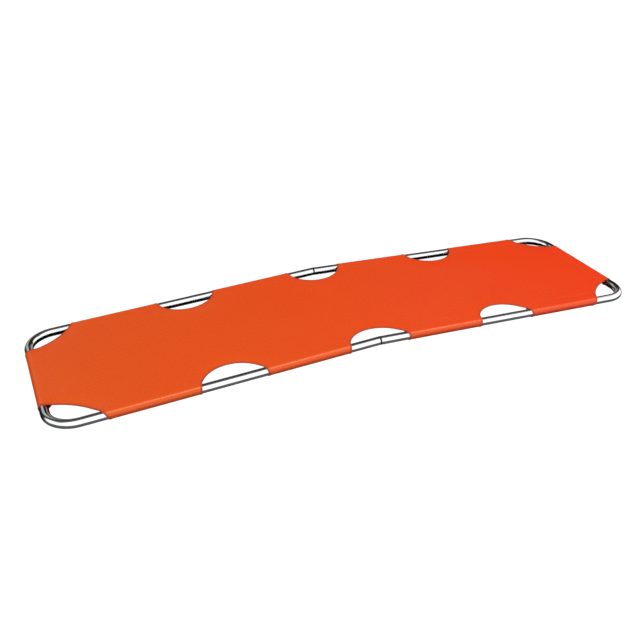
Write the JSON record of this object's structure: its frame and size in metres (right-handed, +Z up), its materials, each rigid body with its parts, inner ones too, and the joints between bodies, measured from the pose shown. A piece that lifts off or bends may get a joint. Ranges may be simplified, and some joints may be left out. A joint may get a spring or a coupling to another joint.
{
  "type": "folding stretcher",
  "caption": "Folding stretcher: a rounded tube frame that folds in half at hinges hidden in its side rails, under a taut coated-cloth cover with cut-out hand-holds.",
  "frame": {"origin": "on the floor, half way between the two hinges", "axes": "+X to the foot end, +Y to the left rail as the patient lies, +Z up"},
  "size_m": [1.8502, 0.5022, 0.0696],
  "materials": {
    "frame_tube": "polished bare aluminium tube",
    "hinge_plug": "dark glass-filled nylon plug with a collar",
    "hinge_steel": "zinc-plated steel link and pins",
    "rivet": "dull aluminium rivets",
    "washer": "natural nylon washers",
    "cover_cloth": "orange coated cloth, smooth, faint weave",
    "binding": "orange binding sewn over the cut edges"
  },
  "bodies": {
    "head_half": {"head_frame_tube": "frame_tube", "head_plug_left": "hinge_plug", "head_plug_right": "hinge_plug", "head_pin_left": "hinge_steel", "head_pin_right": "hinge_steel", "head_rivets_left": "rivet", "head_rivets_right": "rivet", "cover_panel_head": "cover_cloth", "end_sleeve_head": "cover_cloth", "left_sleeves_head": "cover_cloth", "right_sleeves_head": "cover_cloth", "handhold_bindings_head": "binding", "corner_bindings_head": "binding"},
    "hinge_links": {"hinge_link_left": "hinge_steel", "hinge_link_right": "hinge_steel", "link_washers_left": "washer", "link_washers_right": "washer"},
    "foot_half": {"foot_frame_tube": "frame_tube", "foot_plug_left": "hinge_plug", "foot_plug_right": "hinge_plug", "foot_pin_left": "hinge_steel", "foot_pin_right": "hinge_steel", "foot_rivets_left": "rivet", "foot_rivets_right": "rivet", "cover_panel_foot": "cover_cloth", "end_sleeve_foot": "cover_cloth", "left_sleeves_foot": "cover_cloth", "right_sleeves_foot": "cover_cloth", "handhold_bindings_foot": "binding", "corner_bindings_foot": "binding"}
  },
  "joints": [
    {"name": "head_fold", "type": "hinge", "parent": "head_half", "child": "hinge_links", "pos_m": [-0.012, 0.2375, 0.04847], "axis": [0, 1, 0], "range_deg": [0, 87.37]},
    {"name": "foot_fold", "type": "hinge", "parent": "hinge_links", "child": "foot_half", "pos_m": [0.012, 0.2375, 0.04847], "axis": [0, 1, 0], "range_deg": [0, 87.37]}
  ]
}
